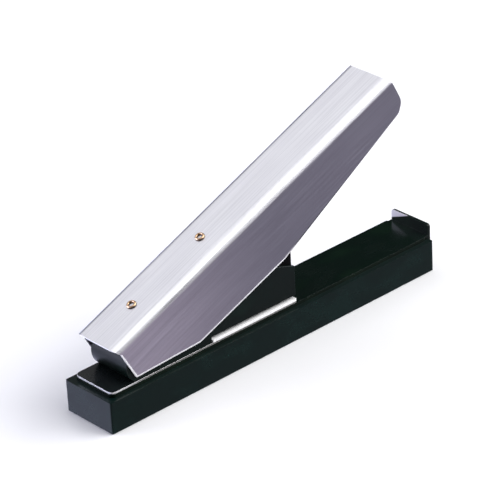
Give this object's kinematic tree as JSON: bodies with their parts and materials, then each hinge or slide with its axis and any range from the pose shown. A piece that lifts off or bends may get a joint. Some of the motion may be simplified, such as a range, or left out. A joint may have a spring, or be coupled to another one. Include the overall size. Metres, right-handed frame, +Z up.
{
  "type": "slot hole punch",
  "caption": "Hand-pressed slot hole punch: black base with a raised bed and card stop, and a sprung brushed-steel channel handle that pivots over the blade.",
  "frame": {"origin": "middle of the base, on the surface that its feet stand on", "axes": "+X along the base away from the hinge end, +Y to the left looking along +X, +Z up"},
  "size_m": [0.187, 0.0284, 0.1],
  "materials": {
    "black_enamel": "semi-gloss black stove enamel",
    "bed_enamel": "semi-gloss black stove enamel with a faint green cast",
    "frame_enamel": "smooth black enamel over a machined steel body",
    "black_steel": "chemically blacked steel",
    "brushed_steel": "brushed along its length",
    "bright_steel": "ground bright",
    "tool_steel": "ground tool steel, lightly oiled",
    "spring_steel": "drawn spring wire",
    "screw_steel": "zinc-plated screw steel",
    "brass": "polished brass",
    "rubber": "matt black rubber",
    "black_plastic": "fine-textured moulded ABS"
  },
  "bodies": {
    "base": {"base_shell": "black_enamel", "bottom_plate": "black_steel", "bed_plate": "bed_enamel", "sole_plate": "bright_steel", "die_plate": "bright_steel", "punch_frame": "frame_enamel", "blade_guide": "tool_steel", "stop_block": "black_steel", "bumper": "rubber", "open_stop_pad": "rubber", "pivot_pin": "bright_steel", "return_spring": "spring_steel", "stop_screw": "screw_steel", "frame_screw_1": "screw_steel", "frame_screw_2": "screw_steel", "frame_screw_3": "screw_steel", "die_screw_1": "screw_steel", "die_screw_2": "screw_steel", "bed_screw_1": "screw_steel", "bed_screw_2": "screw_steel", "guide_screw_1": "screw_steel", "guide_screw_2": "screw_steel", "bottom_screw_1": "screw_steel", "bottom_screw_2": "screw_steel", "bottom_screw_3": "screw_steel", "bottom_screw_4": "screw_steel", "rubber_foot_1": "rubber", "rubber_foot_2": "rubber", "rubber_foot_3": "rubber", "rubber_foot_4": "rubber"},
    "handle": {"handle_cover": "brushed_steel", "handle_lever": "black_steel", "rivet_1": "brass", "rivet_2": "brass"},
    "ram": {"punch_blade": "bright_steel", "ram_head": "tool_steel", "ram_pin": "bright_steel"},
    "tray": {"chip_tray": "black_plastic"}
  },
  "joints": [
    {"name": "handle_press", "type": "hinge", "parent": "base", "child": "handle", "pos_m": [-0.04555, 0, 0.031], "axis": [0, 1, 0], "range_deg": [0, 22.1], "stiffness_Nm_per_rad": 0.9, "springref_deg": -17.19},
    {"name": "ram_stroke", "type": "slide", "parent": "base", "child": "ram", "axis": [0, 0, -1], "range_m": [0, 0.0073], "deforming": ["return_spring"]},
    {"name": "tray_slide", "type": "slide", "parent": "base", "child": "tray", "axis": [1, 0, 0], "range_m": [0, 0.1]}
  ],
  "couplings": [
    {"joint": "ram_stroke", "follows": "handle_press", "m_per_rad": 0.0188}
  ]
}
